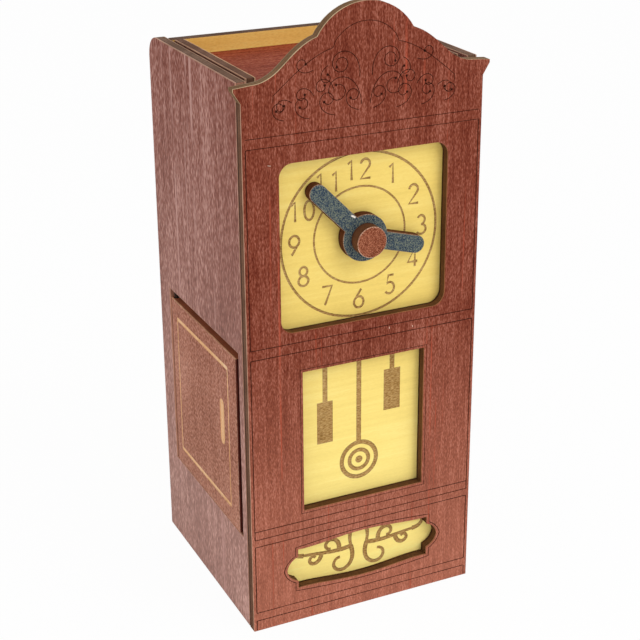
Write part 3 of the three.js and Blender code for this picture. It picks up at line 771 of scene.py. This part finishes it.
# Base, shelf, bulkhead and cleats
# Bare three-ply and birch strips inside the case, glued to the linings.
# They floor the two compartments, hold the spindle's rear end and carry the lid.
bare_edge_values = ply_edge((214, 178, 132), (140, 104, 72), (70, 48, 32), arris=0.2)
for name, node in (("base_panel", "base_board"), ("shelf_panel", "middle_shelf")):
    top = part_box(node)[1].z
    level_place = (right, -up, (0, 0, top))
    level_face = wood_finish(name + "_face", veneer, level_place, bare)
    level_edge = wood_finish(name + "_edge", ply, level_place, bare_edge_values)
    cut_board(name, node, "case", up, level_face, level_face, level_edge)
bulkhead_place = (right, backward, (0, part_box("bulkhead")[0].y, 0))
bulkhead_face = wood_finish("bulkhead_face", veneer, bulkhead_place, bare)
bulkhead_edge = wood_finish("bulkhead_edge", ply, bulkhead_place, bare_edge_values)
cut_board("bulkhead_panel", "bulkhead", "case", -backward,
          bulkhead_face, bulkhead_face, bulkhead_edge)
strip_grains = {"lid_cleat_left": backward, "lid_cleat_right": backward, "lid_cleat_rear": right,
                "shelf_cleat_left": backward, "shelf_cleat_right": backward, "base_cleat_left": backward,
                "base_cleat_right": backward, "bulkhead_cleat_left": up, "bulkhead_cleat_right": up}
strip_finishes = {}
for node, along in strip_grains.items():
    key = tuple(along)
    if key not in strip_finishes:
        depth_along = up if along is not up else backward
        strip_finishes[key] = wood_finish("birch_strip_" + "xyz"[list(along).index(1)], veneer,
                                          (along, depth_along, (0, 0, 0)), bare)
    strip = strip_finishes[key]
    cut_board(node + "_strip", node, "case", up, strip, strip, strip)

# Lid
# The upper compartment's lid, stained red with its grain level, with a finger hole behind the crest.
# Under it the hanger, its block and a peg reach down to the lock ring.
lid_values = dict(mahogany, Stain=(150, 62, 36), Dark=(112, 34, 16), Light=(184, 96, 66),
                  Bands=0.4, Lines=0.4, Fibres=0.8)
lid_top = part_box("lid_board")[1].z
lid_place = (right, -up, (0, 0, lid_top))
lid_face = wood_finish("lid_face", veneer, lid_place, lid_values)
lid_edge = wood_finish("lid_edge", ply, lid_place, brown_edge)
cut_board("lid_panel", "lid_board", "lid", up, lid_face, lid_face, lid_edge)
hanger_place = (up, backward, (0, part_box("lid_hanger")[0].y, 0))
hanger_face = wood_finish("hanger_face", veneer, hanger_place, bare)
hanger_edge = wood_finish("hanger_edge", ply, hanger_place, bare_edge_values)
cut_board("lid_hanger_panel", "lid_hanger", "lid", -backward,
          hanger_face, hanger_face, hanger_edge)
birch_x = strip_finishes[tuple(right)]
cut_board("hanger_block_strip", "hanger_block", "lid", up, birch_x, birch_x, birch_x)

# Dowels
# Turned birch, cut to length: the spindle, which carries the knob, the hands and the lock and turns
# in the face board and the bulkhead, and the peg glued in the lid's hanger.
dowel_values = dict(bare, Stain=(218, 184, 138), Bands=0.5, Pores=0.2)
dowel_end_values = dict(dowel_values, Pores=0.6)
dowel_place = (backward, up, (0, 0, 0))
dowel_face = wood_finish("birch_dowel", veneer, dowel_place, dowel_values)
dowel_end = wood_finish("birch_dowel_end", veneer, dowel_place, dowel_end_values)
for name, node, body in (("spindle_dowel", "spindle", "hands"), ("lock_peg_dowel", "lock_peg", "lid")):
    cut_board(name, node, body, -backward, dowel_end, dowel_end, dowel_face)

# Lock
# A wheel and a collar glued on the spindle behind the dial, and a gated ring glued on the wheel.
# They are bare three-ply, and the lid's peg lifts out only where the ring has its gate.
for name, node in (("lock_wheel_disc", "lock_wheel"), ("lock_ring_disc", "lock_ring"),
                   ("spindle_collar_disc", "spindle_collar")):
    lock_place = (right, backward, (0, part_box(node)[0].y, 0))
    lock_face = wood_finish(name + "_face", veneer, lock_place, bare)
    lock_edge = wood_finish(name + "_edge", ply, lock_place, bare_edge_values)
    cut_board(name, node, "hands", -backward, lock_face, lock_face, lock_edge)

# Hands
# Both hands and their hub are cut from one blue-stained board, so they turn together.
# The cut edges are burnt brown, the front arris is rubbed light, and the long hand has a painted glint.
blue = dict(Stain=(72, 86, 94), Dark=(28, 42, 64), Light=(122, 126, 106),
            Clouds=0.1, Bands=0.05, Lines=0.0, Fibres=1.4, Pores=0.3, Streaks=0.0)
hand_edge_values = ply_edge((128, 80, 56), (100, 54, 30), (44, 24, 14), inner=(78, 36, 16))
hand_arris_values = dict(worn_values, Stain=(172, 138, 112), Light=(220, 186, 156))
hands_grain_spread = (3.0, 1.0)
hands_arris_spread = 5.0
hands_origin = (0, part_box("hands")[0].y, 0)
hands_place = (right, backward, hands_origin)
hands_face = wood_finish("blue_face", veneer, (up, backward, hands_origin, *hands_grain_spread), blue)
hands_edge = wood_finish("burnt_hand_edge", ply, hands_place, hand_edge_values)
hands_arris = wood_finish("worn_hand_arris", veneer, (*hands_place, hands_arris_spread), hand_arris_values)
hands = cut_board("clock_hands", "hands", "hands", -backward, hands_face, hands_face,
                  hands_edge, hands_arris)
hub_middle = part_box("knob")[0].lerp(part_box("knob")[1], 0.5)
# A small near-white mark cut shallowly into the long hand by the hub: a painted glint
glint_line = ((-5.6, 9.2), (-3.9, 8.2))
glint_width = 0.75 * MM
glint_depth = 0.1 * MM
glint_values = dict(Stain=(240, 232, 222), Dark=(214, 196, 180), Light=(252, 248, 242),
                   Clouds=0.4, Bands=0.2, Fibres=0.6, Pores=0.1, Streaks=0.0)
glint_finish = wood_finish("painted_glint", veneer, hands_place, glint_values)
glint_strokes = [(scaled(glint_line, hub_middle.z), False, glint_width)]
engrave(hands, glint_finish, glint_strokes, glint_depth, Matrix.Translation(hands_origin))

# Knob
# A disc of three-ply, thicker than the boards and stained red, glued on the end of the spindle.
# Fingers turn the hands by it, so its front arris is rubbed light.
knob_values = dict(mahogany, Stain=(136, 72, 46), Painted_Foot_Light=(136, 72, 46), Dark=(96, 38, 20),
                   Light=(176, 112, 84), Clouds=0.1, Bands=0.05, Lines=0.0, Fibres=1.5, Streaks=0.0)
knob_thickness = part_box("knob")[1].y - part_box("knob")[0].y
knob_edge_values = ply_edge((126, 80, 56), (116, 74, 48), (60, 34, 22), inner=(96, 56, 36),
                            thickness=knob_thickness)
knob_arris_values = dict(worn_values, Stain=(206, 152, 124), Light=(248, 214, 188))
knob_grain_spread = (3.6, 1.35)
knob_arris_spread = 4.0
knob_place = (right, backward, (0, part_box("knob")[0].y, 0))
knob_face = wood_finish("knob_face", veneer, (*knob_place, *knob_grain_spread), knob_values)
knob_edge = wood_finish("knob_edge", ply, knob_place, knob_edge_values)
knob_arris = wood_finish("worn_knob_arris", veneer, (*knob_place, knob_arris_spread), knob_arris_values)
cut_board("knob_disc", "knob", "hands", -backward, knob_face, knob_face, knob_edge, knob_arris)

# Door
# The flap of the lower compartment, flush in the left side, hung on two pins at its rear edge.
# A frame line and a pull bar are cut through its stain to the pale wood.
# Painted light: the door's red is painted lighter towards the foot
door_stain_and_foot_light_values = dict(Stain=(174, 112, 90), Painted_Foot_Light=(188, 130, 106), Dark=(126, 66, 46),
                   Light=(204, 148, 128), Clouds=0.4, Bands=0.15, Lines=0.2, Fibres=0.8, Pores=0.3,
                   Streaks=0.3)
# The door's cut edges are painted as the doorway's light and shade: near black at the inner veneer, lighter
# in the core, and lightest at the outer veneer by the worn arris
door_edge_shading_values = ply_edge((255, 196, 152), (176, 102, 70), (112, 60, 40), inner=(34, 14, 8))
door_front_edge_shade_values = ply_edge((120, 60, 50), (78, 28, 20), (50, 18, 12), inner=(50, 18, 12))
door_arris_values = dict(worn_values, Stain=(240, 196, 160), Light=(255, 226, 194))
door_grain_spread = (1.0, 0.42)
door_rounding = 0.75 * MM
pale_cut = dict(Stain=(240, 190, 140), Dark=(216, 160, 108), Light=(250, 210, 168),
                Clouds=0.5, Bands=0.4, Fibres=0.5, Pores=0.1, Streaks=0.0)
door_cut_relief = 0.03 * MM
door_outer_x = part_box("door_panel")[0].x
door_place = (up, right, (door_outer_x, 0, 0))
door_face = wood_finish("door_face", veneer, (*door_place, *door_grain_spread), door_stain_and_foot_light_values)
door_edge = wood_finish("door_edge", ply, door_place, door_edge_shading_values)
door_cut = wood_finish("pale_cut_line", veneer, door_place, pale_cut, door_cut_relief)
door_arris = wood_finish("worn_door_arris", veneer, door_place, door_arris_values)
door = cut_board("door_board", "door_panel", "door", -right, door_face, door_face, door_edge,
                 door_arris, rounding=door_rounding)
# The door's front edge is burnt and painted darker still, painted shade of the gap in front of it
front_edge_facing = 0.5
door_front_edge = wood_finish("burnt_shaded_door_front_edge", ply, door_place, door_front_edge_shade_values)
door_front_number = add_finish(door, door_front_edge)
for face in door.data.polygons:
    if face.normal.y < -front_edge_facing:
        face.material_index = door_front_number
door_frame = ((-26.4, 44.2), (25.2, 44.2), (25.2, 101.0), (-26.4, 101.0))
door_line_width = 1.15 * MM
door_level_width = 1.8 * MM
door_line_depth = 0.15 * MM
door_strokes = [(scaled(door_frame), True, door_line_width)]
for level_line in (door_frame[:2], door_frame[2:]):
    door_strokes.append((scaled(level_line), False, door_level_width))
pull_x = 18.8
pull_ends = (69.2, 84.2)
pull_half = 2.0
for end in pull_ends:
    round_end = circle(pull_x, end, pull_half / 2, steps=24)
    door_strokes.append((scaled(round_end), True, pull_half * MM))
pull_block = scaled([(pull_x - pull_half, pull_ends[0]), (pull_x + pull_half, pull_ends[1])])
facing_left = Matrix.Translation((door_outer_x, 0, 0)) @ Matrix.Rotation(math.radians(-90), 4, "Z")
engrave(door, door_cut, door_strokes, door_line_depth, facing_left, [pull_block])

# Pins and magnets
# Two steel pins in the doorway's rear corners hinge the door. A nickelled magnet glued in the
# door meets one in the lining and holds it shut.
patch_rhythm = (500, 500, 3, 0.0)
drawn_mark_rhythm = (200, 6000, 2, 4.1)
drawn_mark_roughness = 0.2
drawn_mark_relief = 0.01 * MM
drawn_mark_strength = 0.6
pin_rounding = 0.15 * MM


def metal_finish(name, tint, dark, roughness):
    """Bright metal with fine drawn marks and darker patches."""
    finish = bpy.data.materials.new(name)
    finish.use_nodes = True
    tree = finish.node_tree
    surface = tree.nodes["Principled BSDF"]
    surface.inputs["Metallic"].default_value = 1.0
    place = board_place(tree, up, backward, (0, 0, 0))
    patches = spread(tree, grain_noise(tree, place, patch_rhythm), *mark_reach)
    marks = spread(tree, grain_noise(tree, place, drawn_mark_rhythm), *mark_reach)
    tree.links.new(mix_colours(tree, patches, tint, dark), surface.inputs["Base Color"])
    shine = spread(tree, marks, 0, 1, roughness, roughness + drawn_mark_roughness)
    tree.links.new(shine, surface.inputs["Roughness"])
    relief = add_node(tree, "Bump", {"Height": marks, "Distance": drawn_mark_relief,
                                    "Strength": drawn_mark_strength})
    tree.links.new(relief.outputs[0], surface.inputs["Normal"])
    return finish


pin_steel = metal_finish("dark_steel", colour(70, 58, 50), colour(44, 34, 30), roughness=0.5)
magnet_nickel = metal_finish("nickel", colour(196, 194, 190), colour(158, 156, 152), roughness=0.25)
for name, node, body, slot, finish in (
        ("door_pin_upper_rod", "door_pin_upper", "case", "steel", pin_steel),
        ("door_pin_lower_rod", "door_pin_lower", "case", "steel", pin_steel),
        ("keeper_magnet_disc", "keeper_magnet", "case", "magnet", magnet_nickel),
        ("door_magnet_disc", "door_magnet", "door", "magnet", magnet_nickel)):
    cut_board(name, node, body, up, finish, finish, finish, rounding=pin_rounding)

scene.view_settings.view_transform = "Standard"
